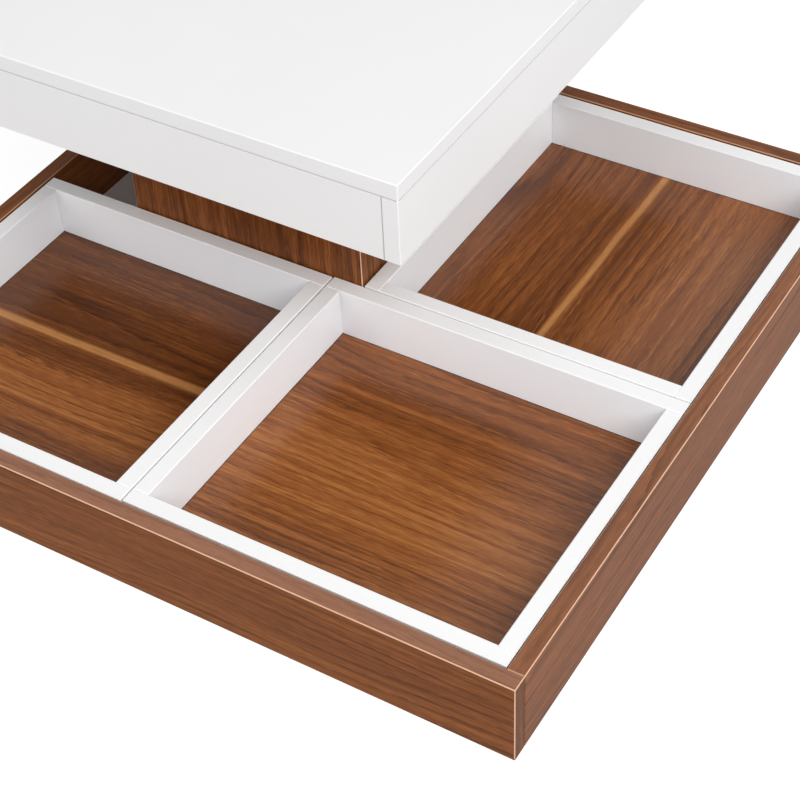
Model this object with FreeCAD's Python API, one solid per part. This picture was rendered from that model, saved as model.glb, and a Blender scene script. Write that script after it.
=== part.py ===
import FreeCAD, Part
import math
import os

# A square swivel coffee table. A low walnut base holds three lift-out trays and a column, and a hollow
# white top turns right round on a roller swivel on the column. The top is drawn turned half round, with the
# trays open. Millimetres, +Z up, origin on the swivel's axis at floor level.

# Base
BASE_SIDE = 700.0            # outer side of the square base, and of the top that closes over it
RIM_HEIGHT = 83.0
RIM_WALL = 15.0
FLOOR_GAP = 1.5              # floor to the rim's lower edge
BOTTOM_RECESS = 2.5          # rim's lower edge to the bottom panel's underside
BOTTOM_THICKNESS = 15.0
GLIDE_RADIUS = 12.0
GLIDE_ROUNDING = 1.2
GLIDE_INSET = 45.0           # rim's inner face to the centre of a corner glide
EDGE_EASE = 0.6              # bevel along the edges of every board

# Column
COLUMN_WELL = 100.0          # free width behind and beside the column, up to the rim
COLUMN_WALL = 15.0
COLUMN_CAP = 15.0
BATTEN_SIDE = 25.0
ACCESS_HOLE_RADIUS = 8.0     # in the cap, for driving the upper plate's screws from inside the column
ACCESS_HOLE_MARGIN = 2.0     # edge of the lower plate to the access hole

# Trays
TRAY_WALL = 15.0
TRAY_GAP = 1.5               # between a tray and whatever stands round it
TRAY_DROP = 1.0              # top of the rim to the top of the trays
TRAY_SHIFT = 1.0             # how far the loose front left tray has slid from the middle of its play
TRAY_FLOOR = 5.0
TRAY_FLOOR_RISE = 10.0       # lower edge of a tray's walls to its floor
GROOVE_DEPTH = 5.0
GROOVE_PLAY = 0.2

# Top
TOP_GAP = 148.0              # top of the rim to the lower edge of the aprons
APRON_HEIGHT = 62.5
APRON_WALL = 15.0
TOP_THICKNESS = 15.0
BLOCK_LEG = 60.0
BLOCK_HEIGHT = 45.0

# Swivel
PLATE_SIDE = 150.0
PLATE_THICKNESS = 2.0
PLATE_CORNER = 10.0
PLATE_HOLE_INSET = 10.0
ROLLER_RADIUS = 3.0
ROLLER_LENGTH = 12.0
ROLLER_COUNT = 6
ROLLER_PLAY = 0.05           # roller to either plate
ROLLER_CIRCLE = 52.0         # swivel's axis to the middle of a roller
CAGE_WIDTH = 20.0
CAGE_THICKNESS = 2.0
POCKET_PLAY = 0.2            # round a roller in its pocket of the cage
RIVET_RADIUS = 8.0
RIVET_PLAY = 0.05
RIVET_LIFT = 0.2             # upper plate to the rivet's flange
FLANGE_RADIUS = 12.0
FLANGE_THICKNESS = 1.5
FLANGE_PLAY = 3.0            # round the rivet's flange, in the swivel board
SWIVEL_BOARD_MARGIN = 50.0   # how far the swivel board reaches past the column
SWIVEL_BOARD_THICKNESS = 15.0

# Screws
SCREW_RADIUS = 2.2
SCREW_HEAD_RADIUS = 4.4
SCREW_HEAD_HEIGHT = 2.2
PLATE_HOLE_PLAY = 0.3
BATTEN_GRIP = 35.0           # length of a screw in a batten
BOARD_GRIP = 10.0            # length of a screw in a board

Z_UP = FreeCAD.Vector(0, 0, 1)

# Plan. The column is centred on the swivel's axis, in the back right quarter of the base. Its front left
# corner stands one tray wall past the middle of the base.
column_half = (BASE_SIDE / 2 - RIM_WALL + TRAY_WALL - COLUMN_WELL) / 2
base_centre = TRAY_WALL - column_half
base_low = base_centre - BASE_SIDE / 2
base_high = base_centre + BASE_SIDE / 2
inner_low = base_low + RIM_WALL
inner_high = base_high - RIM_WALL
top_low = -base_high
top_high = -base_low
batten_centre = column_half - COLUMN_WALL - BATTEN_SIDE / 2
plate_half = PLATE_SIDE / 2

# Levels, from the floor up
rim_bottom = FLOOR_GAP
rim_top = rim_bottom + RIM_HEIGHT
bottom_low = rim_bottom + BOTTOM_RECESS
bottom_high = bottom_low + BOTTOM_THICKNESS
tray_top = rim_top - TRAY_DROP
tray_floor_low = bottom_high + TRAY_FLOOR_RISE
apron_low = rim_top + TOP_GAP
apron_high = apron_low + APRON_HEIGHT
top_level = apron_high + TOP_THICKNESS
swivel_board_low = apron_high - SWIVEL_BOARD_THICKNESS
plate_gap = 2 * (ROLLER_RADIUS + ROLLER_PLAY)
swivel_height = plate_gap + 2 * PLATE_THICKNESS
swivel_low = swivel_board_low - swivel_height
swivel_middle = swivel_low + swivel_height / 2
cap_low = swivel_low - COLUMN_CAP
upper_plate_low = swivel_board_low - PLATE_THICKNESS

os.makedirs("parts", exist_ok=True)


def vector(x, y, z=0.0):
    return FreeCAD.Vector(x, y, z)


def save(name, *solids):
    """Writes one node: a single solid, or a group of like solids."""
    shape = solids[0] if len(solids) == 1 else Part.makeCompound(list(solids))
    shape.exportStep(f"parts/{name}.step")


def block(low, high):
    size = [b - a for a, b in zip(low, high)]
    return Part.makeBox(*size, vector(*low))


def board(low, high):
    """A cut board between two corners, with its edges eased."""
    solid = block(low, high)
    return solid.makeChamfer(EDGE_EASE, solid.Edges)


def turned(profile, x=0.0, y=0.0):
    """A turned piece from points (radius, height), about a vertical axis at x, y."""
    points = [vector(x + radius, y, z) for radius, z in profile]
    face = Part.Face(Part.makePolygon(points + points[:1]))
    return face.revolve(vector(x, y), Z_UP, 360)


def hole(x, y, radius, low, high):
    return Part.makeCylinder(radius, high - low, vector(x, y, low))


def corners(half):
    return [(x, y) for x in (-half, half) for y in (-half, half)]


plate_holes = corners(plate_half - PLATE_HOLE_INSET)


def pan_screw(x, y, face, way, length):
    """A screw whose head stands on a face at that level. It points up for way 1 and down for way -1."""
    profile = [
        (0, -SCREW_HEAD_HEIGHT), (SCREW_HEAD_RADIUS, -SCREW_HEAD_HEIGHT), (SCREW_HEAD_RADIUS, 0),
        (SCREW_RADIUS, 0), (SCREW_RADIUS, length), (0, length),
    ]
    return turned([(radius, face + way * depth) for radius, depth in profile], x, y)


def make_base():
    """The rim, the bottom panel between its boards, the glides, and the screws that hold the column."""
    save("rim_left", board((base_low, base_low, rim_bottom), (inner_low, base_high, rim_top)))
    save("rim_right", board((inner_high, base_low, rim_bottom), (base_high, base_high, rim_top)))
    save("rim_front", board((inner_low, base_low, rim_bottom), (inner_high, inner_low, rim_top)))
    save("rim_back", board((inner_low, inner_high, rim_bottom), (inner_high, base_high, rim_top)))

    foot_screws = [
        pan_screw(x, y, bottom_low, 1, BOTTOM_THICKNESS + BATTEN_GRIP)
        for x, y in corners(batten_centre)
    ]
    bottom = board((inner_low, inner_low, bottom_low), (inner_high, inner_high, bottom_high))
    save("base_bottom_panel", bottom.cut(foot_screws))
    save("column_foot_screws", *foot_screws)

    spots = [(x, y) for x in (inner_low + GLIDE_INSET, inner_high - GLIDE_INSET)
             for y in (inner_low + GLIDE_INSET, inner_high - GLIDE_INSET)]
    profile = [
        (0, 0), (GLIDE_RADIUS - GLIDE_ROUNDING, 0), (GLIDE_RADIUS, GLIDE_ROUNDING),
        (GLIDE_RADIUS, bottom_low), (0, bottom_low),
    ]
    save("glides", *[turned(profile, x, y) for x, y in spots + [(0, 0)]])
    return foot_screws


def make_column(foot_screws):
    """The hollow column: four side panels and a glue batten in each inner corner."""
    inside = column_half - COLUMN_WALL
    sides = {
        "column_left": ((-column_half, -column_half), (-inside, column_half)),
        "column_right": ((inside, -column_half), (column_half, column_half)),
        "column_front": ((-inside, -column_half), (inside, -inside)),
        "column_back": ((-inside, inside), (inside, column_half)),
    }
    for name, (low, high) in sides.items():
        save(name, board((*low, bottom_high), (*high, cap_low)))

    half = BATTEN_SIDE / 2
    battens = [
        block((x - half, y - half, bottom_high), (x + half, y + half, cap_low)).cut(foot_screws)
        for x, y in corners(batten_centre)
    ]
    save("column_battens", *battens)


def swivel_plate(low, bore):
    """A square steel plate with a bore for the rivet and a screw hole near each corner."""
    high = low + PLATE_THICKNESS
    sheet = block((-plate_half, -plate_half, low), (plate_half, plate_half, high))
    upright = [edge for edge in sheet.Edges if abs(edge.tangentAt(edge.FirstParameter).z) > 0.5]
    sheet = sheet.makeChamfer(PLATE_CORNER, upright)
    holes = [hole(x, y, SCREW_RADIUS + PLATE_HOLE_PLAY, low, high) for x, y in plate_holes]
    return sheet.cut([hole(0, 0, bore, low, high)] + holes)


def make_swivel():
    """The two plates, the rollers in their cage, and the rivet that is set in the lower plate."""
    save("swivel_lower_plate", swivel_plate(swivel_low, RIVET_RADIUS))
    save("swivel_upper_plate", swivel_plate(upper_plate_low, RIVET_RADIUS + RIVET_PLAY))

    flange = swivel_board_low + RIVET_LIFT
    save("swivel_rivet", turned([
        (0, swivel_low), (RIVET_RADIUS, swivel_low), (RIVET_RADIUS, flange),
        (FLANGE_RADIUS, flange), (FLANGE_RADIUS, flange + FLANGE_THICKNESS), (0, flange + FLANGE_THICKNESS),
    ]))

    rollers, pockets = [], []
    start = ROLLER_CIRCLE - ROLLER_LENGTH / 2
    reach = start + ROLLER_LENGTH + POCKET_PLAY
    width = ROLLER_RADIUS + POCKET_PLAY
    cage_low = swivel_middle - CAGE_THICKNESS / 2
    cage_high = swivel_middle + CAGE_THICKNESS / 2
    for index in range(ROLLER_COUNT):
        angle = 360 * index / ROLLER_COUNT
        centre = vector(start, 0, swivel_middle)
        roller = Part.makeCylinder(ROLLER_RADIUS, ROLLER_LENGTH, centre, vector(1, 0))
        pocket = block((start - POCKET_PLAY, -width, cage_low), (reach, width, cage_high))
        rollers.append(roller.rotate(vector(0, 0), Z_UP, angle))
        pockets.append(pocket.rotate(vector(0, 0), Z_UP, angle))
    cage = hole(0, 0, ROLLER_CIRCLE + CAGE_WIDTH / 2, cage_low, cage_high)
    middle = hole(0, 0, ROLLER_CIRCLE - CAGE_WIDTH / 2, cage_low, cage_high)
    save("swivel_cage", cage.cut([middle] + pockets))
    save("swivel_rollers", *rollers)


def make_swivel_boards():
    """The column's cap under the swivel and the board above it, with the screws that hold the plates."""
    length = PLATE_THICKNESS + BOARD_GRIP
    lower_screws = [pan_screw(x, y, swivel_low + PLATE_THICKNESS, -1, length) for x, y in plate_holes]
    upper_screws = [pan_screw(x, y, upper_plate_low, 1, length) for x, y in plate_holes]
    save("swivel_lower_screws", *lower_screws)
    save("swivel_upper_screws", *upper_screws)

    cap = board((-column_half, -column_half, cap_low), (column_half, column_half, swivel_low))
    screw_circle = math.hypot(*plate_holes[0])
    access_x = plate_half + ACCESS_HOLE_MARGIN + ACCESS_HOLE_RADIUS
    access_y = math.sqrt(screw_circle ** 2 - access_x ** 2)
    access = hole(access_x, access_y, ACCESS_HOLE_RADIUS, cap_low, swivel_low)
    save("column_cap", cap.cut([access] + lower_screws))

    half = column_half + SWIVEL_BOARD_MARGIN
    swivel_board = board((-half, -half, swivel_board_low), (half, half, apron_high))
    flange_room = hole(0, 0, FLANGE_RADIUS + FLANGE_PLAY, swivel_board_low, apron_high)
    save("swivel_board", swivel_board.cut([flange_room] + upper_screws))


def make_top():
    """The panel, the aprons under its edge, and a glue block in each inner corner."""
    low, high = top_low + APRON_WALL, top_high - APRON_WALL
    save("top_panel", board((top_low, top_low, apron_high), (top_high, top_high, top_level)))
    save("apron_front", board((top_low, top_low, apron_low), (top_high, low, apron_high)))
    save("apron_back", board((top_low, high, apron_low), (top_high, top_high, apron_high)))
    save("apron_left", board((top_low, low, apron_low), (low, high, apron_high)))
    save("apron_right", board((high, low, apron_low), (top_high, high, apron_high)))

    blocks = []
    for x, way_x in ((low, 1), (high, -1)):
        for y, way_y in ((low, 1), (high, -1)):
            level = apron_high - BLOCK_HEIGHT
            outline = [vector(x, y, level), vector(x + way_x * BLOCK_LEG, y, level),
                       vector(x, y + way_y * BLOCK_LEG, level), vector(x, y, level)]
            blocks.append(Part.Face(Part.makePolygon(outline)).extrude(vector(0, 0, BLOCK_HEIGHT)))
    save("top_corner_blocks", *blocks)


def make_tray(name, x_low, x_high, y_low, y_high, sides_run_through):
    """Four butted walls and a floor in their grooves. The sides run through, or else the front and back."""
    left, right = x_low + TRAY_WALL, x_high - TRAY_WALL
    front, back = y_low + TRAY_WALL, y_high - TRAY_WALL
    side_ends = (y_low, y_high) if sides_run_through else (front, back)
    cross_ends = (left, right) if sides_run_through else (x_low, x_high)
    plans = {
        "left": ((x_low, side_ends[0]), (left, side_ends[1])),
        "right": ((right, side_ends[0]), (x_high, side_ends[1])),
        "front": ((cross_ends[0], y_low), (cross_ends[1], front)),
        "back": ((cross_ends[0], back), (cross_ends[1], y_high)),
    }
    deep = GROOVE_DEPTH
    groove = block((left - deep, front - deep, tray_floor_low),
                   (right + deep, back + deep, tray_floor_low + TRAY_FLOOR + GROOVE_PLAY))
    for side, (low, high) in plans.items():
        save(f"{name}_wall_{side}", board((*low, bottom_high), (*high, tray_top)).cut(groove))
    deep -= GROOVE_PLAY
    save(f"{name}_floor", block((left - deep, front - deep, tray_floor_low),
                                (right + deep, back + deep, tray_floor_low + TRAY_FLOOR)))


def make_trays():
    """Three trays in the bays that the rim and the column leave."""
    gap = TRAY_GAP
    bay_edge = -column_half                        # the column's left and front faces
    shared_edge = base_centre + TRAY_WALL          # front left tray meets back left tray
    make_tray("front_left_tray", inner_low + gap + TRAY_SHIFT, bay_edge - gap + TRAY_SHIFT,
              inner_low + gap, shared_edge - gap / 2, True)
    make_tray("back_left_tray", inner_low + gap, bay_edge - gap,
              shared_edge + gap / 2, inner_high - gap, True)
    make_tray("front_right_tray", bay_edge + gap / 2, inner_high - gap,
              inner_low + gap, bay_edge - gap, False)


column_screws = make_base()
make_column(column_screws)
make_swivel()
make_swivel_boards()
make_top()
make_trays()
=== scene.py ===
"""Finishes the packed swivel coffee table: walnut base and column, white trays and top, and the swivel.

Lengths are metres in the frame of the part: origin on the swivel's axis at floor level, +Z up. The top is
drawn turned half round, so that the trays are open.
"""

import math

import bpy
from bpy.props import FloatProperty, FloatVectorProperty, IntProperty, PointerProperty
from mathutils import Matrix, Vector


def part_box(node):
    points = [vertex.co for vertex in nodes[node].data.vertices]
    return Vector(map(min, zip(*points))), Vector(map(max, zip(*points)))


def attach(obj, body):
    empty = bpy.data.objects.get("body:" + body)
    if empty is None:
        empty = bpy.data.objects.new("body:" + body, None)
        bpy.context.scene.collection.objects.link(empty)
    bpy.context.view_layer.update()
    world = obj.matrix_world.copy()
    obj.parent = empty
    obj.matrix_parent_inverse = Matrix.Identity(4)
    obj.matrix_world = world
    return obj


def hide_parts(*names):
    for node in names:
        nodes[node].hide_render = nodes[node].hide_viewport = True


bl_info = {
    "name": "Swivel coffee table",
    "version": (1, 0, 0),
    "blender": (4, 5, 0),
    "location": "3D View > Sidebar > Table",
    "description": "Finishes the boards, the fittings and the stage of a swivel coffee table",
    "category": "Object",
}

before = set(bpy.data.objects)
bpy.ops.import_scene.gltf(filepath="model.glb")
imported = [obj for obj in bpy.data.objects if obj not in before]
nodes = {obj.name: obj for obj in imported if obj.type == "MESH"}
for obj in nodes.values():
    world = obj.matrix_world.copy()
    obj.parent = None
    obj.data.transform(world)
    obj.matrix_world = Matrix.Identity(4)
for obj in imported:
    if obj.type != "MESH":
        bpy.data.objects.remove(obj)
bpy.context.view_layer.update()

TRAYS = ("front_left_tray", "back_left_tray", "front_right_tray")
SIDES = ("left", "right", "front", "back")


def linear(code):
    """The linear colour of an sRGB hex code."""
    levels = [int(code[start:start + 2], 16) / 255 for start in (1, 3, 5)]
    return tuple(v / 12.92 if v <= 0.04045 else ((v + 0.055) / 1.055) ** 2.4 for v in levels)


def colour(name, code, description):
    """A colour that a user can change, with an sRGB hex code as its default."""
    return FloatVectorProperty(
        name=name, description=description, subtype="COLOR", size=3, min=0, max=1, default=linear(code))


def length(name, metres, description):
    """A length that a user can change."""
    return FloatProperty(
        name=name, description=description, unit="LENGTH", subtype="DISTANCE", precision=4, min=0,
        default=metres)


def location(name, spot, description):
    """A place that a user can change."""
    return FloatVectorProperty(
        name=name, description=description, subtype="TRANSLATION", unit="LENGTH", size=3, default=spot)


def bearing(name, degrees, description):
    """An angle that a user can change."""
    return FloatProperty(name=name, description=description, subtype="ANGLE", default=math.radians(degrees))


def wattage(name, watts, description):
    """A lamp's power that a user can change."""
    return FloatProperty(name=name, description=description, subtype="POWER", unit="POWER", default=watts)


def factor(name, amount, description):
    """A strength or a share that a user can change."""
    return FloatProperty(name=name, description=description, subtype="FACTOR", min=0, default=amount)


class WalnutFinish(bpy.types.PropertyGroup):
    """Walnut foil on the rim, the column and the tray floors."""

    darkest: colour("Darkest streaks", "#46230e", "Darkest lines of the figure")
    dark: colour("Dark wood", "#693a19", "Darker heartwood")
    middle: colour("Middle wood", "#8a5027", "Most of the heartwood")
    light: colour("Light wood", "#a46837", "Paler heartwood")
    lightest: colour("Lightest streaks", "#bb8049", "Palest lines of the figure")
    sapwood: colour("Sapwood", "#c88a50", "Golden streak through the outer tray floors")
    # The edge band's pinker colour is partly painted sheen from the white surround reflected in the rims'
    # tops
    banding_and_sheen: colour("Edge banding", "#a07560", "Paler strip that is glued on the rims' top edges")
    edge_line: colour("Edge line", "#d8ae90", "Pale backing of the foil where an edge is trimmed")
    # Painted shade: a dark line for the shade in the narrow opening where a tray's floor enters the grooves
    # of its walls
    gap: colour("Floor gap", "#1c110a", "Shaded gap where a tray's floor enters the grooves of its walls")
    pale_width: length("Pale width", 0.19, "Width of the paler stretch in a tray floor")
    edge_line_width: length("Edge line width", 0.0009, "Width of the pale line along a trimmed edge")
    gap_shade_width: length("Floor gap width", 0.001, "Width of the gap round a tray's floor")


class WhiteFinish(bpy.types.PropertyGroup):
    """White foil on the trays, the top and the bottom panel."""

    foil: colour("White foil", "#f1f1f1", "Colour of the white foil")
    foil_shade: colour("White foil, shaded", "#ededee", "Faint cloudiness of the white foil")
    # Partly painted light: the inner faces of the tray walls are made cooler to offset the warm light that
    # the walnut floors bounce onto them
    tray_foil: colour("Tray foil", "#eef2f7", "Cooler foil on the inner faces of the tray walls")
    # Painted shade: the grey line stands for the shade in the open joints between the white boards
    seam: colour("Seam", "#bab9bb", "Open joint between two white boards")
    seam_shade_width: length("Seam width", 0.0007, "Width of the grey line on each board at a joint")
    emboss: length("Emboss", 0.0012, "Size of the faint orange peel that the press leaves")


class Fittings(bpy.types.PropertyGroup):
    """Screws, rollers, glides and the woods that stay hidden."""

    screw_head_radius: length("Screw head radius", 0.0044, "Radius of a screw's head")
    screw_head_height: length("Screw head height", 0.0022, "Height of a screw's head")
    screw_radius: length("Screw radius", 0.0022, "Radius over a screw's thread")
    thread_pitch: length("Thread pitch", 0.0022, "Rise of a screw's thread in one turn")
    roller_radius: length("Roller radius", 0.003, "Radius of a swivel roller")
    roller_length: length("Roller length", 0.012, "Length of a swivel roller")
    roller_count: IntProperty(name="Rollers", description="Number of rollers in the cage", min=3, default=6)
    glide_radius: length("Glide radius", 0.012, "Radius of a stick-on glide")
    zinc: colour("Zinc", "#b9bdc1", "Zinc plate on the swivel and the screws")
    nylon: colour("Nylon", "#dedacd", "Natural nylon of the roller cage")
    glide: colour("Glide", "#1b1b1c", "Black plastic of the glides")
    chip: colour("Chipboard", "#b38d60", "Bare chipboard of the hidden boards")
    pine: colour("Pine", "#d9b585", "Sawn pine of the battens and glue blocks")


class Stage(bpy.types.PropertyGroup):
    """The camera, the lamps, the surroundings and the floor."""

    camera: location("Camera", (-1.2218, -0.8672, 1.1773), "Place of the camera")
    heading: bearing("Heading", -57.13, "Turn of the camera about the vertical")
    tilt: bearing("Tilt", 46.994, "Tilt of the camera up from straight down")
    roll: bearing("Roll", -2.958, "Turn of the camera about its own axis")
    focal_length: FloatProperty(
        name="Focal length", description="Focal length in millimetres on a 36 mm sensor",
        subtype="DISTANCE_CAMERA", default=86.61)
    left_place: location("Left lamp", (-5.36, 1.64, 2.15), "Place of the lamp to the left of the camera")
    left_power: wattage("Left power", 102.0, "Power of the lamp to the left of the camera")
    right_place: location("Right lamp", (0.68, -5.56, 2.15), "Place of the lamp to the right of the camera")
    right_power: wattage("Right power", 92.0, "Power of the lamp to the right of the camera")
    front_place: location("Front lamp", (-2.75, -3.51, 4.02), "Place of the lamp over the camera")
    front_power: wattage("Front power", 275.0, "Power of the lamp over the camera")
    lamp_size: length("Lamp size", 3.6, "Side of each lamp")
    surround: factor("Surround", 0.35, "Strength of the even light from all round")
    floor: colour("Floor", "#868686", "Colour of the floor by the light that falls on it")
    floor_size: length("Floor size", 12.0, "Side of the floor")
    floor_lift: factor("Floor lift", 0.9, "Light added to the floor where the camera sees it")
    floor_gleam: factor("Floor gleam", 0.5, "Share of that light that shows in reflections")


def feed(tree, node, inputs):
    """Sets a node's inputs, in order or by key. Each is a value, or a socket or node that is linked to it."""
    for key, value in inputs.items() if isinstance(inputs, dict) else enumerate(inputs):
        if isinstance(value, bpy.types.Node):
            value = value.outputs[0]
        if isinstance(value, bpy.types.NodeSocket):
            tree.links.new(value, node.inputs[key])
        else:
            node.inputs[key].default_value = value


def add(tree, kind, inputs=(), **settings):
    """Adds a node with its settings and its inputs."""
    made = tree.nodes.new(kind)
    for name, value in settings.items():
        setattr(made, name, value)
    feed(tree, made, inputs)
    return made


def new_group(name, kind, inputs, outputs):
    """An empty node group with named sockets, the sockets that it is given, and its output node."""
    tree = bpy.data.node_groups.new(name, kind)
    for way, sockets in (("INPUT", inputs), ("OUTPUT", outputs)):
        for socket, socket_kind in sockets.items():
            tree.interface.new_socket(socket, in_out=way, socket_type=f"NodeSocket{socket_kind}")
    return tree, add(tree, "NodeGroupInput").outputs, add(tree, "NodeGroupOutput")


def new_material(name):
    """A material with a Principled shader, and its tree."""
    made = bpy.data.materials.new(name)
    made.use_nodes = True
    return made, made.node_tree, made.node_tree.nodes["Principled BSDF"]


def finish_nodes(names, material):
    """Gives CAD nodes a finish."""
    for name in names:
        for slot in nodes[name].material_slots:
            slot.material = material


def mottled(tree, tint, pattern, darkest, lightest):
    """A colour that a pattern makes darker and lighter."""
    level = add(tree, "ShaderNodeMapRange", [pattern, 0, 1, darkest, lightest])
    return add(tree, "ShaderNodeVectorMath", {0: tuple(tint), 3: level}, operation="SCALE").outputs[0]


def coated(tree, paint, coats):
    """A colour under coats of other colours, each with the share that covers what lies below it."""
    for share, coat in coats:
        paint = add(tree, "ShaderNodeMix", {0: share, 6: paint, 7: coat}, data_type="RGBA").outputs[2]
    return paint


# Length along the grain, width across it and weight of each layer of streaks, from broad bands to fibres. The
# finest ones are drawn wider than real fibres, which wouldn't show.
STREAKS = (
    (0.90, 0.050, 0.22),
    (0.90, 0.014, 0.24),
    (0.60, 0.0050, 0.24),
    (0.35, 0.0022, 0.37),
    (0.016, 0.0009, 0.46),
)
MEAN_TONE = 0.53             # tone between the rings where the streaks cancel out
WANDER = 0.015               # how far the grain strays sideways
WANDER_LENGTH = 0.28         # size of the stretches where it strays one way
WANDER_WIDTH = 0.12
TRUNK_LENGTH = 0.60          # size of the swells in the trunk that the rings run round
TRUNK_WIDTH = 0.055
TRUNK_SLOPE = 0.6            # usual change of the trunk's noise across one such width
TRUNK_SLANT = 0.9            # steady drift of the rings across the board
RING_FEATHER = 0.5           # how much the fibres fray the edge of a ring
LATEWOOD = (0.6, 0.97)       # where in a ring its late wood starts and is darkest
PATCH_LENGTH = 0.22          # size of the patches where rings show more or less
PATCH_WIDTH = 0.04
PATCH_LEVELS = (0.35, 0.62)  # levels of their noise from faint to clear rings
FAINTEST_RING = 0.1          # share of a ring's depth that is left in a faint patch
PORE_LENGTH = 0.012
PORE_WIDTH = 0.0010
PORE_LEVELS = (0.62, 0.78)   # levels of their noise from closed to open


def stretched_noise(tree, place, along, across, detail):
    """Noise that is drawn out along +X."""
    squeezed = add(tree, "ShaderNodeVectorMath", [place, (1 / along, 1 / across, 1 / across)],
                   operation="MULTIPLY")
    return add(tree, "ShaderNodeTexNoise", {"Vector": squeezed, "Scale": 1.0, "Detail": detail})


def wood_figure():
    """Sliced wood with its grain along +X. Tone is 0 where dark, 1 where pale."""
    found = bpy.data.node_groups.get("Wood figure")
    if found:
        return found
    tree, take, result = new_group(
        "Wood figure", "ShaderNodeTree",
        {"Vector": "Vector", "Ring spacing": "Float", "Ring depth": "Float"},
        {"Tone": "Float", "Pores": "Float"})
    wander = stretched_noise(tree, take["Vector"], WANDER_LENGTH, WANDER_WIDTH, detail=0.0)
    sway = add(tree, "ShaderNodeVectorMath", {0: (0, WANDER, WANDER), 3: wander}, operation="SCALE")
    place = add(tree, "ShaderNodeVectorMath", [take["Vector"], sway], operation="ADD")

    tone = MEAN_TONE
    for along, across, weight in STREAKS:
        streak = stretched_noise(tree, place, along, across, detail=1.0)
        level = add(tree, "ShaderNodeMath", [streak, 0.5], operation="SUBTRACT")
        tone = add(tree, "ShaderNodeMath", [level, weight, tone], operation="MULTIPLY_ADD")

    trunk = stretched_noise(tree, place, TRUNK_LENGTH, TRUNK_WIDTH, detail=0.5)
    split = add(tree, "ShaderNodeSeparateXYZ", [place]).outputs
    sideways = add(tree, "ShaderNodeMath", [split["Y"], split["Z"]], operation="ADD")
    drift = add(tree, "ShaderNodeMath", [sideways, TRUNK_SLANT], operation="MULTIPLY")
    girth = add(tree, "ShaderNodeMath", [trunk, TRUNK_WIDTH / TRUNK_SLOPE, drift], operation="MULTIPLY_ADD")
    turns = add(tree, "ShaderNodeMath", [girth, take["Ring spacing"]], operation="DIVIDE")
    frayed = add(tree, "ShaderNodeMath", [level, RING_FEATHER, turns], operation="MULTIPLY_ADD")
    season = add(tree, "ShaderNodeMath", [frayed], operation="FRACT")
    latewood = add(tree, "ShaderNodeMapRange", [season, *LATEWOOD], interpolation_type="SMOOTHSTEP")
    patches = stretched_noise(tree, place, PATCH_LENGTH, PATCH_WIDTH, detail=0.0)
    clear = add(tree, "ShaderNodeMapRange", [patches, *PATCH_LEVELS, FAINTEST_RING])
    depth = add(tree, "ShaderNodeMath", [clear, take["Ring depth"]], operation="MULTIPLY")
    rings = add(tree, "ShaderNodeMath", [latewood, depth], operation="MULTIPLY")
    ringed = add(tree, "ShaderNodeMath", [tone, rings], operation="SUBTRACT")

    pores = stretched_noise(tree, place, PORE_LENGTH, PORE_WIDTH, detail=0.0)
    open_pores = add(tree, "ShaderNodeMapRange", [pores, *PORE_LEVELS])
    feed(tree, result, {"Tone": ringed, "Pores": open_pores})
    return tree


def board_edge():
    """How far a point lies from the nearest edge of a box, and how deep inside the box's upright sides."""
    found = bpy.data.node_groups.get("Board edge")
    if found:
        return found
    tree, take, result = new_group(
        "Board edge", "ShaderNodeTree",
        {"Position": "Vector", "Centre": "Vector", "Half": "Vector"}, {"Distance": "Float", "Depth": "Float"})
    offset = add(tree, "ShaderNodeVectorMath", [take["Position"], take["Centre"]], operation="SUBTRACT")
    reach = add(tree, "ShaderNodeVectorMath", [offset], operation="ABSOLUTE")
    depth = add(tree, "ShaderNodeVectorMath", [take["Half"], reach], operation="SUBTRACT")
    x, y, z = add(tree, "ShaderNodeSeparateXYZ", [depth]).outputs
    low = add(tree, "ShaderNodeMath", [x, y], operation="MINIMUM")
    high = add(tree, "ShaderNodeMath", [x, y], operation="MAXIMUM")
    rest = add(tree, "ShaderNodeMath", [high, z], operation="MINIMUM")
    middle = add(tree, "ShaderNodeMath", [low, rest], operation="MAXIMUM")
    feed(tree, result, {"Distance": middle, "Depth": low})
    return tree


def in_box(tree, position, box):
    """The outputs of the board edge group, set to a box."""
    low, high = box
    place = {"Position": position, "Centre": (low + high) / 2, "Half": (high - low) / 2}
    return add(tree, "ShaderNodeGroup", place, node_tree=board_edge()).outputs


LINE_CORE = 0.7              # share of an edge line's width that has its full colour


def edge_mask(tree, position, box, width):
    """A mask that is 1 along the edges of a box, as wide as that on each face."""
    distance = in_box(tree, position, box)["Distance"]
    return add(tree, "ShaderNodeMapRange", [distance, width, LINE_CORE * width])


def outline(names):
    """The box round several CAD nodes."""
    lows, highs = zip(*(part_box(name) for name in names))
    return Vector(map(min, *lows)), Vector(map(max, *highs))


# Turns that lay a figure's grain, +X, along an axis of the part
GRAIN_TURNS = {"X": (0, 0, 0), "Y": (0, 0, -math.pi / 2), "Z": (0, math.pi / 2, 0)}
# Edge bands are cut from another part of the foil
BAND_SHIFT = Vector((0.53, 0.041, 0.027))
# Tones of the five browns, from the darkest
TONE_STOPS = (0.12, 0.36, 0.52, 0.68, 0.9)
FACING = 0.8                 # least part of a face's normal along the axis that it faces
END_SHADE = -0.12            # the bands on the ends are darker
FIBRE_LEVELS = (0.5, 1.4)    # how dark and how light the fibres make a plain tint
STREAK_WAVES = 9.0           # bends of a sapwood streak in a metre
STREAK_DRIFT = 0.004         # how far it bends
STREAK_START = 0.75          # where it starts, in widths from its middle
STREAK_FULL = 0.2            # where it is full
STREAK_STRENGTH = 0.88
PORE_STRENGTH = 0.22
INNER_LINE = 0.6             # strength of the edge line on the inner side of a rim's top
INNER_LINE_WIDTH = 0.9       # its width, as a share of the outer one
GAP_SHADE_STRENGTH = 0.85
SHEEN_SPREAD = 0.05          # pale wood is smoother by this, dark wood rougher
GRAIN_BUMP = {"Strength": 0.12, "Distance": 0.0002}


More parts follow.
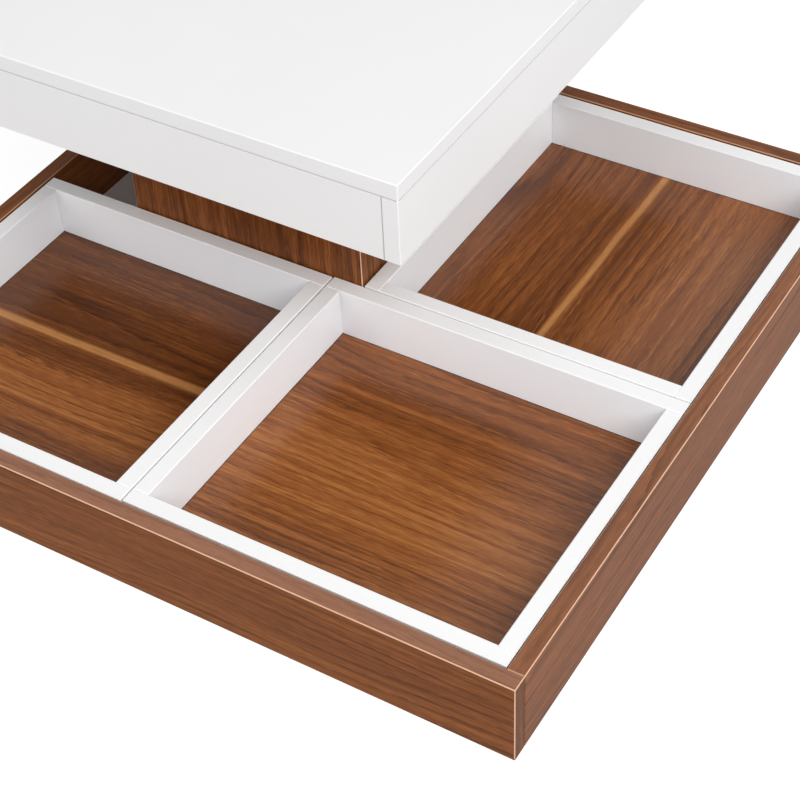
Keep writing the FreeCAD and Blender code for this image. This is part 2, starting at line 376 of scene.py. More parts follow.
def walnut(node, grain, shift, *, shade, contrast, ring_spacing, ring_depth, roughness, specular, box=None,
           pale=None, sapwood=None, band_sheen_tint=None, well=None):
    """Walnut decor foil, pressed on board with a satin lacquer: fine brown figure and a soft, even sheen.

    The figure runs along the grain axis and shift picks a part of it. Shade and contrast change its tone. The
    pale backing shows as a line along the edges of a box. Pale is the middle and the strength of a paler
    stretch across the grain, with darker wood beyond it; on the back left floor that darker side is painted
    shade from the top above. Sapwood is the middle and the width of a golden streak. With a band tint,
    strips are glued on the top and on the ends, and the top one is given a pinker colour so far, which is
    partly painted sheen from the white surround. Well is the box between the walls round a tray's floor;
    along it a dark line is painted as the shade in the narrow opening where the floor enters the walls'
    grooves.
    """
    settings = bpy.context.scene.table_walnut
    material, tree, shader = new_material(f"walnut_foil_{node}")
    spot = add(tree, "ShaderNodeTexCoord").outputs
    here = spot["Object"]
    turn = GRAIN_TURNS[grain]
    place = add(tree, "ShaderNodeMapping", {"Vector": here, "Rotation": turn, "Location": shift})
    cut = place
    if band_sheen_tint:
        band = {"Vector": here, "Location": Vector(shift) + BAND_SHIFT}
        top_band = add(tree, "ShaderNodeMapping", {**band, "Rotation": turn})
        end_band = add(tree, "ShaderNodeMapping", {**band, "Rotation": GRAIN_TURNS["Z"]})
        facing = add(tree, "ShaderNodeSeparateXYZ", [spot["Normal"]]).outputs
        on_top = add(tree, "ShaderNodeMath", [facing["Z"], FACING], operation="GREATER_THAN")
        end_turn = add(tree, "ShaderNodeMath", [facing[grain]], operation="ABSOLUTE")
        on_end = add(tree, "ShaderNodeMath", [end_turn, FACING], operation="GREATER_THAN")
        for share, strip in ((on_top, top_band), (on_end, end_band)):
            cut = add(tree, "ShaderNodeMix", {0: share, 4: cut, 5: strip}, data_type="VECTOR").outputs[1]

    figure = add(tree, "ShaderNodeGroup", {
        "Vector": cut, "Ring spacing": ring_spacing, "Ring depth": ring_depth},
        node_tree=wood_figure()).outputs
    mean = 0.5 + shade
    tone = add(tree, "ShaderNodeMapRange", [figure["Tone"], 0, 1, mean - contrast / 2, mean + contrast / 2],
               clamp=False)
    across = add(tree, "ShaderNodeSeparateXYZ", [place]).outputs["Y"]
    if band_sheen_tint:
        tone = add(tree, "ShaderNodeMath", [on_end, END_SHADE, tone], operation="MULTIPLY_ADD")
    # A paler stretch with darker wood beyond it; on the back left floor the darker side is painted shade from
    # the top
    if pale:
        middle, strength = pale
        offset = add(tree, "ShaderNodeMath", [across, middle], operation="SUBTRACT")
        reach = add(tree, "ShaderNodeMath", [offset], operation="ABSOLUTE")
        glow = add(tree, "ShaderNodeMapRange", [reach, 0, settings.pale_width / 2, strength, -strength],
                   interpolation_type="SMOOTHSTEP")
        tone = add(tree, "ShaderNodeMath", [tone, glow], operation="ADD")
    tones = add(tree, "ShaderNodeValToRGB", [tone])
    ramp = tones.color_ramp
    for stop in TONE_STOPS[1:-1]:
        ramp.elements.new(stop)
    browns = (settings.darkest, settings.dark, settings.middle, settings.light, settings.lightest)
    for element, stop, brown in zip(ramp.elements, TONE_STOPS, browns):
        element.position = stop
        element.color = (*brown, 1)

    coats = []
    if sapwood:
        middle, width = sapwood
        drift = add(tree, "ShaderNodeTexNoise", {"Vector": place, "Scale": STREAK_WAVES, "Detail": 1.0})
        strayed = add(tree, "ShaderNodeMath", [drift, STREAK_DRIFT, across], operation="MULTIPLY_ADD")
        offset = add(tree, "ShaderNodeMath", [strayed, middle + STREAK_DRIFT / 2], operation="SUBTRACT")
        reach = add(tree, "ShaderNodeMath", [offset], operation="ABSOLUTE")
        streak = add(tree, "ShaderNodeMapRange", [
            reach, STREAK_START * width, STREAK_FULL * width, 0, STREAK_STRENGTH],
            interpolation_type="SMOOTHSTEP")
        coats.append((streak, mottled(tree, settings.sapwood, tone, *FIBRE_LEVELS)))
    # The top band's pinker tint is partly painted sheen from the white surround
    if band_sheen_tint:
        top_sheen = add(tree, "ShaderNodeMath", [on_top, band_sheen_tint], operation="MULTIPLY")
        coats.append((top_sheen, mottled(tree, settings.banding_and_sheen, tone, *FIBRE_LEVELS)))
    pores = add(tree, "ShaderNodeMath", [figure["Pores"], PORE_STRENGTH], operation="MULTIPLY")
    coats.append((pores, (*settings.darkest, 1)))
    if box:
        width = settings.edge_line_width
        low, high = box
        level = add(tree, "ShaderNodeSeparateXYZ", [here]).outputs["Z"]
        line = edge_mask(tree, here, box, width)
        above = add(tree, "ShaderNodeMath", [level, low.z + 2 * width], operation="GREATER_THAN")
        shown = add(tree, "ShaderNodeMath", [line, above], operation="MULTIPLY")
        if band_sheen_tint:
            inner = edge_mask(tree, here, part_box(node), INNER_LINE_WIDTH * width)
            near_top = add(tree, "ShaderNodeMath", [level, high.z - 2 * width], operation="GREATER_THAN")
            faint = add(tree, "ShaderNodeMath", [near_top, INNER_LINE], operation="MULTIPLY")
            inner_line = add(tree, "ShaderNodeMath", [inner, faint], operation="MULTIPLY")
            shown = add(tree, "ShaderNodeMath", [shown, inner_line], operation="MAXIMUM")
        coats.append((shown, (*settings.edge_line, 1)))
    # Painted shade along the walls round a tray's floor, where it enters their grooves
    if well:
        depth = in_box(tree, here, well)["Depth"]
        shaded = add(tree, "ShaderNodeMapRange", [
            depth, settings.gap_shade_width, settings.gap_shade_width / 2, 0, GAP_SHADE_STRENGTH])
        coats.append((shaded, (*settings.gap, 1)))

    paint = coated(tree, tones.outputs["Color"], coats)
    sheen = add(tree, "ShaderNodeMapRange", [
        figure["Tone"], 0, 1, roughness + SHEEN_SPREAD, roughness - SHEEN_SPREAD])
    bump = add(tree, "ShaderNodeBump", {**GRAIN_BUMP, "Height": figure["Tone"]})
    feed(tree, shader, {
        "Specular IOR Level": specular, "Base Color": paint, "Roughness": sheen, "Normal": bump})
    return material


CLOUD_SIZE = 0.12            # size of the white foil's faint clouds
OUTER_SKIN = 0.001           # depth within which a tray wall's outside counts as such
PEEL_BUMP = {"Strength": 0.06, "Distance": 0.0002}
FOIL_ROUGHNESS = (0.38, 0.46)


def white_foil(name, foil, band=None, node=None, box=None):
    """White melamine foil, pressed on chipboard: near white, satin, with a faint orange peel from the press.

    A band is another white on the upper edges and on the outside of the box. A board inside a box shows a
    grey line of painted shade along its own edges where they aren't edges of the box, for the shade in an
    open joint.
    """
    settings = bpy.context.scene.table_white
    material, tree, shader = new_material(f"white_melamine_{name}")
    spot = add(tree, "ShaderNodeTexCoord").outputs
    here = spot["Object"]
    cloud = add(tree, "ShaderNodeTexNoise", {"Vector": here, "Scale": 1 / CLOUD_SIZE, "Detail": 2.0})
    coats = [(cloud, (*settings.foil_shade, 1))]
    if band is not None:
        facing = add(tree, "ShaderNodeSeparateXYZ", [spot["Normal"]]).outputs
        on_top = add(tree, "ShaderNodeMath", [facing["Z"], FACING], operation="GREATER_THAN")
        depth = in_box(tree, here, box)["Depth"]
        outside = add(tree, "ShaderNodeMath", [depth, OUTER_SKIN], operation="LESS_THAN")
        banded = add(tree, "ShaderNodeMath", [on_top, outside], operation="MAXIMUM")
        coats.append((banded, (*band, 1)))
    if node:
        # Painted shade in the open joints between the boards of the top
        own = edge_mask(tree, here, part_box(node), settings.seam_shade_width)
        free = edge_mask(tree, here, box, 2 * settings.seam_shade_width)
        joint = add(tree, "ShaderNodeMath", [own, free], operation="SUBTRACT", use_clamp=True)
        coats.append((joint, (*settings.seam, 1)))
    paint = coated(tree, (*foil, 1), coats)
    peel = add(tree, "ShaderNodeTexNoise", {"Vector": here, "Scale": 1 / settings.emboss, "Detail": 1.0})
    bump = add(tree, "ShaderNodeBump", {**PEEL_BUMP, "Height": peel})
    sheen = add(tree, "ShaderNodeMapRange", [peel, 0, 1, *FOIL_ROUGHNESS])
    feed(tree, shader, {"Base Color": paint, "Roughness": sheen, "Normal": bump})
    return material


CHIP_SIZE = 0.0032
CHIP_LEVELS = (0.62, 1.15)   # the darkest and the palest flakes
CHIP_BUMP = {"Strength": 0.3, "Distance": 0.0002}
CHIP_ROUGHNESS = 0.85


def bare_chipboard():
    """Sanded chipboard, pressed from wood chips: a matt mosaic of pale and brown flakes."""
    settings = bpy.context.scene.table_fittings
    material, tree, shader = new_material("bare_chipboard")
    here = add(tree, "ShaderNodeTexCoord").outputs["Object"]
    chips = add(tree, "ShaderNodeTexVoronoi", {"Vector": here, "Scale": 1 / CHIP_SIZE}).outputs
    flake = add(tree, "ShaderNodeSeparateXYZ", [chips["Color"]]).outputs["X"]
    paint = mottled(tree, settings.chip, flake, *CHIP_LEVELS)
    bump = add(tree, "ShaderNodeBump", {**CHIP_BUMP, "Height": chips["Distance"]})
    feed(tree, shader, {"Base Color": paint, "Roughness": CHIP_ROUGHNESS, "Normal": bump})
    return material


PINE_SHIFT = (0.2, 0.31, 0.27)
PINE_RINGS = {"Ring spacing": 0.006, "Ring depth": 0.5}
PINE_LEVELS = (0.6, 1.15)    # late wood and early wood
PINE_BUMP = {"Strength": 0.4, "Distance": 0.0003}
PINE_ROUGHNESS = 0.75


def sawn_pine(name, grain):
    """Sawn pine: pale yellow early wood, browner late rings and a rough, matt face."""
    settings = bpy.context.scene.table_fittings
    material, tree, shader = new_material(f"sawn_pine_{name}")
    here = add(tree, "ShaderNodeTexCoord").outputs["Object"]
    place = add(tree, "ShaderNodeMapping", {
        "Vector": here, "Rotation": GRAIN_TURNS[grain], "Location": PINE_SHIFT})
    figure = add(tree, "ShaderNodeGroup", {**PINE_RINGS, "Vector": place}, node_tree=wood_figure()).outputs
    paint = mottled(tree, settings.pine, figure["Tone"], *PINE_LEVELS)
    bump = add(tree, "ShaderNodeBump", {**PINE_BUMP, "Height": figure["Tone"]})
    feed(tree, shader, {"Base Color": paint, "Roughness": PINE_ROUGHNESS, "Normal": bump})
    return material


ZINC_CLOUD = 0.006           # size of the clouds that the plating bath leaves
ZINC_LEVELS = (0.8, 1.15)
ZINC_ROUGHNESS = (0.26, 0.42)


def zinc_plate():
    """Steel sheet and wire with a bright zinc plate: pale grey metal, faintly clouded by the bath."""
    found = bpy.data.materials.get("zinc_plated_steel")
    if found:
        return found
    settings = bpy.context.scene.table_fittings
    material, tree, shader = new_material("zinc_plated_steel")
    here = add(tree, "ShaderNodeTexCoord").outputs["Object"]
    cloud = add(tree, "ShaderNodeTexNoise", {"Vector": here, "Scale": 1 / ZINC_CLOUD, "Detail": 3.0})
    paint = mottled(tree, settings.zinc, cloud, *ZINC_LEVELS)
    sheen = add(tree, "ShaderNodeMapRange", [cloud, 0, 1, *ZINC_ROUGHNESS])
    feed(tree, shader, {"Metallic": 1.0, "Base Color": paint, "Roughness": sheen})
    return material


MOULD_LEVELS = (0.88, 1.1)   # the mould's grain darkens and lightens the plastic a little
MOULD_BUMP = {"Strength": 0.25, "Distance": 0.0001}


def moulded(name, tint, grain_size, roughness):
    """Moulded plastic: one even colour with the fine grain of its mould."""
    material, tree, shader = new_material(name)
    here = add(tree, "ShaderNodeTexCoord").outputs["Object"]
    grain = add(tree, "ShaderNodeTexNoise", {"Vector": here, "Scale": 1 / grain_size, "Detail": 2.0})
    paint = mottled(tree, tint, grain, *MOULD_LEVELS)
    bump = add(tree, "ShaderNodeBump", {**MOULD_BUMP, "Height": grain})
    feed(tree, shader, {"Base Color": paint, "Roughness": roughness, "Normal": bump})
    return material


LAST_ANGLE = math.radians(78)      # a turned form's rounding stops here and leaves a small flat
ROUND_SIDES = 40
ROUND_STEPS = 14


def turned_form():
    """A round form on +Z from the origin. Its outline is a superellipse from the start angle to its end."""
    found = bpy.data.node_groups.get("Turned form")
    if found:
        return found
    tree, take, result = new_group(
        "Turned form", "GeometryNodeTree",
        {"Radius": "Float", "Length": "Float", "Power": "Float", "Start angle": "Float"},
        {"Geometry": "Geometry"})
    rod = add(tree, "GeometryNodeMeshCylinder", {
        "Vertices": ROUND_SIDES, "Side Segments": ROUND_STEPS, "Radius": 1.0, "Depth": 1.0}, fill_type="NGON")
    x, y, z = add(tree, "ShaderNodeSeparateXYZ", [add(tree, "GeometryNodeInputPosition")]).outputs
    share = add(tree, "ShaderNodeMath", [z, 0.5], operation="ADD")
    angle = add(tree, "ShaderNodeMapRange", [share, 0, 1, take["Start angle"], LAST_ANGLE])
    power = add(tree, "ShaderNodeMath", [2.0, take["Power"]], operation="DIVIDE")

    heights = []
    for source in (angle, take["Start angle"], LAST_ANGLE):
        sine = add(tree, "ShaderNodeMath", [source], operation="SINE")
        sign = add(tree, "ShaderNodeMath", [sine], operation="SIGN")
        size = add(tree, "ShaderNodeMath", [sine], operation="ABSOLUTE")
        raised = add(tree, "ShaderNodeMath", [size, power], operation="POWER")
        heights.append(add(tree, "ShaderNodeMath", [raised, sign], operation="MULTIPLY"))
    level = add(tree, "ShaderNodeMapRange", [*heights, 0, take["Length"]])
    cosine = add(tree, "ShaderNodeMath", [angle], operation="COSINE")
    girth = add(tree, "ShaderNodeMath", [cosine, power], operation="POWER")
    radius = add(tree, "ShaderNodeMath", [girth, take["Radius"]], operation="MULTIPLY")
    new_x = add(tree, "ShaderNodeMath", [x, radius], operation="MULTIPLY")
    new_y = add(tree, "ShaderNodeMath", [y, radius], operation="MULTIPLY")
    spot = add(tree, "ShaderNodeCombineXYZ", [new_x, new_y, level])
    shaped = add(tree, "GeometryNodeSetPosition", {"Geometry": rod, "Position": spot})
    feed(tree, result, {"Geometry": shaped})
    return tree


def lifted(tree, shape, size, share=1.0):
    """A shape that is moved along +Z by a share of a size."""
    rise = add(tree, "ShaderNodeMath", [size, share], operation="MULTIPLY")
    way = add(tree, "ShaderNodeCombineXYZ", {"Z": rise})
    return add(tree, "GeometryNodeTransform", {"Geometry": shape, "Translation": way})


def placed(tree, result, points, shape, material, rotation):
    """Ends a tree: a copy of the shape on each point, made real, in its material."""
    copies = add(tree, "GeometryNodeInstanceOnPoints", {
        "Points": points, "Instance": shape, "Rotation": rotation})
    real = add(tree, "GeometryNodeRealizeInstances", [copies])
    finished = add(tree, "GeometryNodeSetMaterial", {"Geometry": real, "Material": material})
    feed(tree, result, {"Geometry": finished})


HEAD_POWER = 3.0             # roundness of a pan head
RECESS_REACH = 1.1           # a cross recess, in head radii
RECESS_WIDTH = 0.22
RECESS_HEIGHT = 1.3          # height of its cutter, half of it in the head, in head heights
CORE = 0.72                  # core of the thread, in screw radii
TIP = 2.0                    # length of the point, in screw radii
TIP_RADIUS = 0.0001
THREADED = 0.96              # share of the straight shank that has a thread
CREST = 0.16                 # half height of a thread's rib, in screw radii
SHANK_SIDES = 24
THREAD_STEPS = 18
RIB_SIDES = 4


def screw_tree():
    """A pan-head screw with a cross recess and a thread on each point. Its head stands up from the point."""
    found = bpy.data.node_groups.get("Pan-head screws")
    if found:
        return found
    tree, take, result = new_group(
        "Pan-head screws", "GeometryNodeTree",
        {"Geometry": "Geometry", "Head radius": "Float", "Head height": "Float", "Radius": "Float",
         "Length": "Float", "Pitch": "Float", "Turn": "Rotation", "Material": "Material"},
        {"Geometry": "Geometry"})
    head = add(tree, "GeometryNodeGroup", {
        "Radius": take["Head radius"], "Length": take["Head height"], "Power": HEAD_POWER},
        node_tree=turned_form())
    wide, narrow = (
        add(tree, "ShaderNodeMath", [take["Head radius"], share], operation="MULTIPLY")
        for share in (RECESS_REACH, RECESS_WIDTH))
    deep = add(tree, "ShaderNodeMath", [take["Head height"], RECESS_HEIGHT], operation="MULTIPLY")
    recessed = add(tree, "GeometryNodeMeshBoolean", {"Mesh 1": head}, operation="DIFFERENCE")
    for sides in ([wide, narrow, deep], [narrow, wide, deep]):
        cutter = add(tree, "GeometryNodeMeshCube", {"Size": add(tree, "ShaderNodeCombineXYZ", sides)})
        feed(tree, recessed, {"Mesh 2": lifted(tree, cutter, take["Head height"])})

    core, tip, root, crest = (
        add(tree, "ShaderNodeMath", [take["Radius"], share], operation="MULTIPLY")
        for share in (CORE, TIP, 1 - CREST, CREST))
    straight = add(tree, "ShaderNodeMath", [take["Length"], tip], operation="SUBTRACT")
    rod = add(tree, "GeometryNodeMeshCylinder", {"Vertices": SHANK_SIDES, "Radius": core, "Depth": straight})
    point = add(tree, "GeometryNodeMeshCone", {
        "Vertices": SHANK_SIDES, "Radius Top": core, "Radius Bottom": TIP_RADIUS, "Depth": tip})

    rise = add(tree, "ShaderNodeMath", [straight, THREADED], operation="MULTIPLY")
    turns = add(tree, "ShaderNodeMath", [rise, take["Pitch"]], operation="DIVIDE")
    helix = add(tree, "GeometryNodeCurveSpiral", {
        "Resolution": THREAD_STEPS, "Rotations": turns, "Start Radius": root, "End Radius": root,
        "Height": rise})
    rib = add(tree, "GeometryNodeCurvePrimitiveCircle", {"Resolution": RIB_SIDES, "Radius": crest})
    thread = add(tree, "GeometryNodeCurveToMesh", {"Curve": helix, "Profile Curve": rib, "Fill Caps": True})

    screw = add(tree, "GeometryNodeJoinGeometry", [recessed])
    for part, size, share in ((rod, straight, -0.5), (point, take["Length"], -1.0), (thread, straight, -1.0)):
        feed(tree, screw, [lifted(tree, part, size, share)])
    placed(tree, result, take["Geometry"], screw, take["Material"], take["Turn"])
    return tree


ROLLER_POWER = 14.0          # a roller is straight with slightly rounded ends
GLIDE_POWER = 10.0           # a glide is flat with a rounded lower edge


def roller_tree():
    """Rollers that lie along the spokes of a wheel, with rounded ends."""
    tree, take, result = new_group(
        "Rollers", "GeometryNodeTree",
        {"Geometry": "Geometry", "Count": "Int", "Circle": "Float", "Level": "Float", "Radius": "Float",
         "Length": "Float", "Material": "Material"},
        {"Geometry": "Geometry"})
    form = add(tree, "GeometryNodeGroup", {
        "Radius": take["Radius"], "Length": take["Length"], "Power": ROLLER_POWER,
        "Start angle": -LAST_ANGLE}, node_tree=turned_form())
    ring = add(tree, "GeometryNodeMeshCircle", {"Vertices": take["Count"], "Radius": take["Circle"]})
    flat = add(tree, "ShaderNodeVectorMath", [add(tree, "GeometryNodeInputPosition"), (1, 1, 0)],
               operation="MULTIPLY")
    spoke = add(tree, "FunctionNodeAlignRotationToVector", {"Vector": flat}, axis="Z")
    roller = lifted(tree, form, take["Length"], -0.5)
    placed(tree, result, lifted(tree, ring, take["Level"]), roller, take["Material"], spoke)
    return tree


def glide_tree():
    """A stick-on glide under each point, rounded at its lower edge."""
    tree, take, result = new_group(
        "Glides", "GeometryNodeTree",
        {"Geometry": "Geometry", "Radius": "Float", "Height": "Float", "Turn": "Rotation",
         "Material": "Material"},
        {"Geometry": "Geometry"})
    form = add(tree, "GeometryNodeGroup", {
        "Radius": take["Radius"], "Length": take["Height"], "Power": GLIDE_POWER}, node_tree=turned_form())
    placed(tree, result, take["Geometry"], form, take["Material"], take["Turn"])
    return tree


SHARP_ANGLE = math.radians(35)


def grown(name, points, tree, **sizes):
    """Runs a geometry tree on points and keeps the result as a plain mesh."""
    mesh = bpy.data.meshes.new(name)
    mesh.from_pydata(points, [], [])
    piece = bpy.data.objects.new(name, mesh)
    bpy.context.scene.collection.objects.link(piece)
    modifier = piece.modifiers.new(name, "NODES")
    modifier.node_group = tree
    for socket in tree.interface.items_tree:
        key = socket.name.lower().replace(" ", "_")
        if socket.in_out == "INPUT" and key in sizes:
            modifier[socket.identifier] = sizes[key]
    plain = bpy.data.meshes.new_from_object(piece.evaluated_get(bpy.context.evaluated_depsgraph_get()))
    piece.modifiers.clear()
    piece.data = plain
    plain.name = name
    plain.shade_smooth()
    plain.set_sharp_from_angle(angle=SHARP_ANGLE)
    return piece


class TABLE_OT_rims(bpy.types.Operator):
    """Finishes the four rim boards in walnut foil with banded tops and ends"""

    bl_idname = "coffee_table.rims"
    bl_label = "Finish rims"

    def execute(self, context):
        # Grain, part of the figure, tint of the top band (partly painted sheen) and specular level of each
        # board
        cuts = {
            "rim_left": ("Y", (0.1, 0.03, -0.53), 0.7, 0.16),
            "rim_right": ("Y", (0.9, 0.05, 0.25), 0.15, 0.16),
            "rim_front": ("X", (0.4, 0.53, -0.02), 0.3, 0.24),
            "rim_back": ("X", (1.3, -0.33, 0.03), 0.15, 0.16),
        }
        for name, (grain, shift, tint, specular) in cuts.items():
            finish_nodes([name], walnut(
                name, grain, shift, shade=-0.06, contrast=0.65, ring_spacing=0.011, ring_depth=0.26,
                roughness=0.42, specular=specular, box=outline(cuts), band_sheen_tint=tint))
        return {"FINISHED"}


class TABLE_OT_column(bpy.types.Operator):
    """Finishes the column's side panels in walnut foil with upright grain"""

    bl_idname = "coffee_table.column"
    bl_label = "Finish column"

    def execute(self, context):
        # Part of the figure on each panel
        cuts = {
            "column_left": (0.2, 0.11, -0.21), "column_right": (0.8, -0.07, 0.19),
            "column_front": (0.5, 0.21, 0.13), "column_back": (1.1, -0.19, 0.05),
        }
        for name, shift in cuts.items():
            finish_nodes([name], walnut(
                name, "Z", shift, shade=-0.11, contrast=0.9, ring_spacing=0.015, ring_depth=0.2,
                roughness=0.4, specular=0.2, box=outline(cuts)))
        return {"FINISHED"}


class TABLE_OT_tray_floors(bpy.types.Operator):
    """Finishes the tray floors in walnut foil, with a sapwood streak in the two outer trays"""

    bl_idname = "coffee_table.tray_floors"
    bl_label = "Finish tray floors"

    def execute(self, context):
        # Grain, part of the figure, shade, paler stretch and sapwood streak of each floor. On the back left
        # floor the low shade and the darker side of the paler stretch are painted shade from the top above
        cuts = {
            "front_left_tray": ("Y", (0.125, -0.315, 0.0), 0.01, (0.295, 0.07), None),
            "back_left_tray": ("Y", (0.295, -0.785, 0.0), -0.075, (0.345, 0.15), (0.267, 0.009)),
            "front_right_tray": ("X", (0.205, 0.445, 0.0), -0.03, (-0.345, 0.05), (-0.2687, 0.007)),
        }
        for tray, (grain, shift, shade, *stripes) in cuts.items():
            pale, sapwood = (stripe and (stripe[0] + shift[1], stripe[1]) for stripe in stripes)
            left, right, front, back = (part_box(f"{tray}_wall_{side}") for side in SIDES)
            well = (Vector((left[1].x, front[1].y, left[0].z)), Vector((right[0].x, back[0].y, left[1].z)))
            floor = f"{tray}_floor"
            finish_nodes([floor], walnut(
                floor, grain, shift, shade=shade, contrast=0.95, ring_spacing=0.015, ring_depth=0.18,
                roughness=0.27, specular=0.42, pale=pale, sapwood=sapwood, well=well))
        return {"FINISHED"}


class TABLE_OT_white_boards(bpy.types.Operator):
    """Finishes the tray walls, the top, its aprons and the bottom panel in white foil"""

    bl_idname = "coffee_table.white_boards"
    bl_label = "Finish white boards"

    def execute(self, context):
        settings = context.scene.table_white
        for tray in TRAYS:
            walls = [f"{tray}_wall_{side}" for side in SIDES]
            # The inner faces get the cooler tray foil, partly painted light against the warm bounce from the
            # floors; the tops and outsides get the plain foil
            finish_nodes(walls, white_foil(tray, settings.tray_foil, settings.foil, box=outline(walls)))
        finish_nodes(["base_bottom_panel"], white_foil("bottom", settings.foil))
        top = ["top_panel"] + [f"apron_{side}" for side in SIDES]
        for name in top:
            finish_nodes([name], white_foil(name, settings.foil, node=name, box=outline(top)))
        return {"FINISHED"}


class TABLE_OT_hidden_wood(bpy.types.Operator):
    """Finishes the boards beside the swivel in chipboard, and the battens and blocks in pine"""

    bl_idname = "coffee_table.hidden_wood"
    bl_label = "Finish hidden wood"

    def execute(self, context):
        finish_nodes(["column_cap", "swivel_board"], bare_chipboard())
        finish_nodes(["column_battens"], sawn_pine("battens", "Z"))
        finish_nodes(["top_corner_blocks"], sawn_pine("blocks", "Z"))
        return {"FINISHED"}


class TABLE_OT_swivel(bpy.types.Operator):
    """Finishes the swivel's plates, rivet and cage, and makes its rollers"""

    bl_idname = "coffee_table.swivel"
    bl_label = "Make swivel"

    def execute(self, context):
        settings = context.scene.table_fittings
        finish_nodes(["swivel_lower_plate", "swivel_upper_plate", "swivel_rivet"], zinc_plate())
        nylon = moulded("natural_nylon", settings.nylon, grain_size=0.0006, roughness=0.45)
        finish_nodes(["swivel_cage"], nylon)
        low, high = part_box("swivel_rollers")
        rollers = grown(
            "swivel_roller_set", [(0, 0, 0)], roller_tree(), count=settings.roller_count,
            circle=high.x - settings.roller_length / 2, level=(low.z + high.z) / 2,
            radius=settings.roller_radius, length=settings.roller_length, material=zinc_plate())
        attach(rollers, "roller_cage")
        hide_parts("swivel_rollers")
        return {"FINISHED"}


class TABLE_OT_screws(bpy.types.Operator):
    """Makes the screws under the column and in the swivel's plates"""

    bl_idname = "coffee_table.screws"
    bl_label = "Make screws"

    def execute(self, context):
        settings = context.scene.table_fittings
        # Body that each row rides on, and whether its heads point down
        rows = {
            "column_foot_screws": ("base", True), "swivel_lower_screws": ("base", False),
            "swivel_upper_screws": ("top", True),
        }
        for node, (body, head_down) in rows.items():
            low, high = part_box(node)
            half = high.x - settings.screw_head_radius
            seat = low.z + settings.screw_head_height if head_down else high.z - settings.screw_head_height
            screws = grown(
                f"{node}_set", [(x, y, seat) for x in (-half, half) for y in (-half, half)], screw_tree(),
                head_radius=settings.screw_head_radius, head_height=settings.screw_head_height,
                radius=settings.screw_radius, length=high.z - low.z - settings.screw_head_height,
                pitch=settings.thread_pitch, turn=(math.pi if head_down else 0.0, 0.0, 0.0),
                material=zinc_plate())
            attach(screws, body)
            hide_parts(node)
        return {"FINISHED"}


class TABLE_OT_glides(bpy.types.Operator):
    """Makes the glides that the table stands on"""

    bl_idname = "coffee_table.glides"
    bl_label = "Make glides"

    def execute(self, context):
        settings = context.scene.table_fittings
        low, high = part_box("glides")
        inset = settings.glide_radius
        spots = [(x, y) for x in (low.x + inset, high.x - inset) for y in (low.y + inset, high.y - inset)]
        glides = grown(
            "glide_set", [(x, y, high.z) for x, y in spots + [(0, 0)]], glide_tree(), radius=inset,
            height=high.z - low.z, turn=(math.pi, 0.0, 0.0),
            material=moulded("black_polythene", settings.glide, grain_size=0.0005, roughness=0.5))
        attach(glides, "base")
        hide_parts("glides")
        return {"FINISHED"}


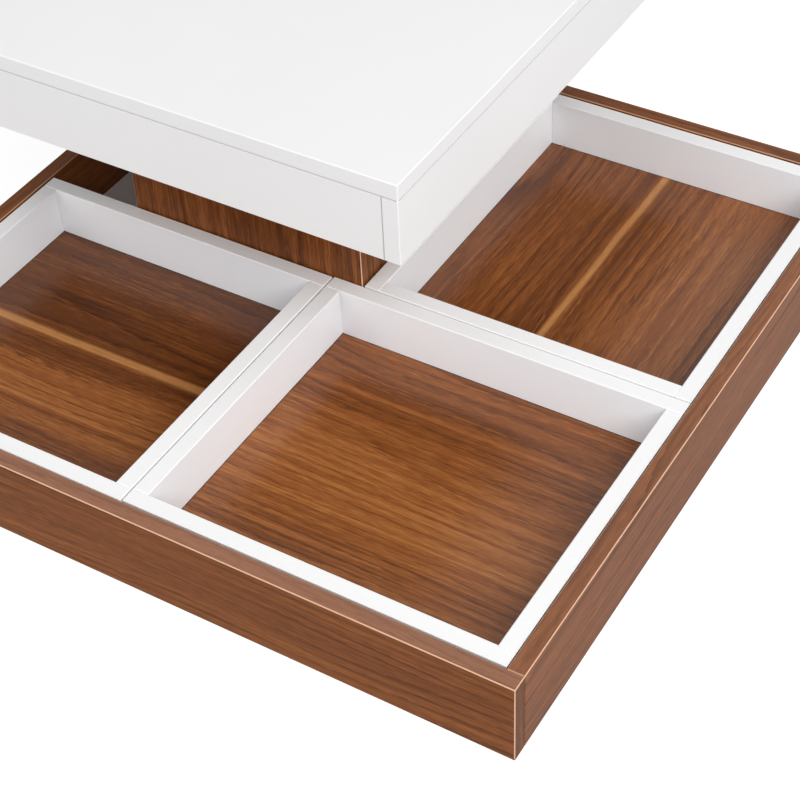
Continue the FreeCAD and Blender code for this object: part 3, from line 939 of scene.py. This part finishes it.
class TABLE_OT_stage(bpy.types.Operator):
    """Sets the camera, the lamps, the surroundings and the floor"""

    bl_idname = "coffee_table.stage"
    bl_label = "Set stage"

    def execute(self, context):
        settings = context.scene.table_stage
        scene = context.scene
        scene.view_settings.view_transform = "Standard"

        lens = bpy.data.cameras.new("camera")
        lens.lens = settings.focal_length
        camera = bpy.data.objects.new("camera", lens)
        camera.matrix_world = (
            Matrix.Translation(settings.camera) @ Matrix.Rotation(settings.heading, 4, "Z")
            @ Matrix.Rotation(settings.tilt, 4, "X") @ Matrix.Rotation(settings.roll, 4, "Z"))
        scene.collection.objects.link(camera)
        scene.camera = camera

        for side in ("left", "right", "front"):
            self.hang_lamp(scene, settings, side)
        self.light_surroundings(scene, settings)
        self.lay_floor(scene, settings)
        return {"FINISHED"}

    def hang_lamp(self, scene, settings, side):
        """A square soft lamp that shines at the origin. It is kept out of sight and out of reflections, which
        would bleach the white top from behind."""
        lamp = bpy.data.lights.new(f"{side}_lamp", "AREA")
        lamp.shape = "SQUARE"
        lamp.size = settings.lamp_size
        lamp.energy = getattr(settings, f"{side}_power")
        stand = bpy.data.objects.new(f"{side}_lamp", lamp)
        stand.location = getattr(settings, f"{side}_place")
        stand.rotation_euler = stand.location.to_track_quat("Z", "Y").to_euler()
        stand.visible_camera = False
        stand.visible_glossy = False
        scene.collection.objects.link(stand)

    def light_surroundings(self, scene, settings):
        """An even white surround, seen as plain white by the camera and in reflections."""
        world = bpy.data.worlds.new("white_surround")
        world.use_nodes = True
        scene.world = world
        tree = world.node_tree
        tree.nodes.clear()
        path = add(tree, "ShaderNodeLightPath").outputs
        lit = add(tree, "ShaderNodeBackground", {"Color": (1, 1, 1, 1), "Strength": settings.surround})
        seen = add(tree, "ShaderNodeBackground", {"Color": (1, 1, 1, 1), "Strength": 1.0})
        mirrored = add(tree, "ShaderNodeMath", [path["Is Glossy Ray"], path["Is Transmission Ray"]],
                       operation="MAXIMUM")
        direct = add(tree, "ShaderNodeMath", [path["Is Camera Ray"], mirrored], operation="MAXIMUM")
        both = add(tree, "ShaderNodeMixShader", [direct, lit, seen])
        add(tree, "ShaderNodeOutputWorld", {"Surface": both})

    def lay_floor(self, scene, settings):
        """A matt white floor that keeps the shadow under the table and fades to white round it."""
        half = settings.floor_size / 2
        corners = [(-half, -half, 0), (half, -half, 0), (half, half, 0), (-half, half, 0)]
        mesh = bpy.data.meshes.new("floor")
        mesh.from_pydata(corners, [], [(0, 1, 2, 3)])
        floor = bpy.data.objects.new("floor", mesh)
        scene.collection.objects.link(floor)
        material = bpy.data.materials.new("white_floor")
        material.use_nodes = True
        tree = material.node_tree
        tree.nodes.clear()
        path = add(tree, "ShaderNodeLightPath").outputs
        matt = add(tree, "ShaderNodeBsdfDiffuse", {"Color": (*settings.floor, 1)})
        glow = add(tree, "ShaderNodeEmission", {"Color": (1, 1, 1, 1), "Strength": settings.floor_lift})
        bright = add(tree, "ShaderNodeAddShader", [matt, glow])
        seen = add(tree, "ShaderNodeMath", [path["Is Camera Ray"], path["Is Transmission Ray"]],
                   operation="MAXIMUM")
        gleam = add(tree, "ShaderNodeMath", [path["Is Glossy Ray"], settings.floor_gleam],
                    operation="MULTIPLY")
        direct = add(tree, "ShaderNodeMath", [seen, gleam], operation="MAXIMUM")
        both = add(tree, "ShaderNodeMixShader", [direct, matt, bright])
        add(tree, "ShaderNodeOutputMaterial", {"Surface": both})
        mesh.materials.append(material)


SETTINGS = {
    "table_walnut": WalnutFinish, "table_white": WhiteFinish,
    "table_fittings": Fittings, "table_stage": Stage,
}
STEPS = (
    TABLE_OT_rims, TABLE_OT_column, TABLE_OT_tray_floors, TABLE_OT_white_boards, TABLE_OT_hidden_wood,
    TABLE_OT_swivel, TABLE_OT_screws, TABLE_OT_glides, TABLE_OT_stage,
)


class TABLE_PT_panel(bpy.types.Panel):
    """Lists the steps that finish the table, and what can be changed before them"""

    bl_idname = "TABLE_PT_panel"
    bl_label = "Swivel coffee table"
    bl_space_type = "VIEW_3D"
    bl_region_type = "UI"
    bl_category = "Table"

    def draw(self, context):
        for step in STEPS:
            self.layout.operator(step.bl_idname)
        for pointer, group in SETTINGS.items():
            box = self.layout.box()
            box.label(text=group.__doc__)
            for key in group.__annotations__:
                box.prop(getattr(context.scene, pointer), key)


def register():
    for cls in (*SETTINGS.values(), *STEPS, TABLE_PT_panel):
        bpy.utils.register_class(cls)
    for pointer, group in SETTINGS.items():
        setattr(bpy.types.Scene, pointer, PointerProperty(type=group))


def unregister():
    for pointer in SETTINGS:
        delattr(bpy.types.Scene, pointer)
    for cls in (TABLE_PT_panel, *reversed(STEPS), *reversed(SETTINGS.values())):
        bpy.utils.unregister_class(cls)


def main():
    register()
    bpy.ops.coffee_table.rims()
    bpy.ops.coffee_table.column()
    bpy.ops.coffee_table.tray_floors()
    bpy.ops.coffee_table.white_boards()
    bpy.ops.coffee_table.hidden_wood()
    bpy.ops.coffee_table.swivel()
    bpy.ops.coffee_table.screws()
    bpy.ops.coffee_table.glides()
    bpy.ops.coffee_table.stage()


if __name__ == "__main__":
    main()
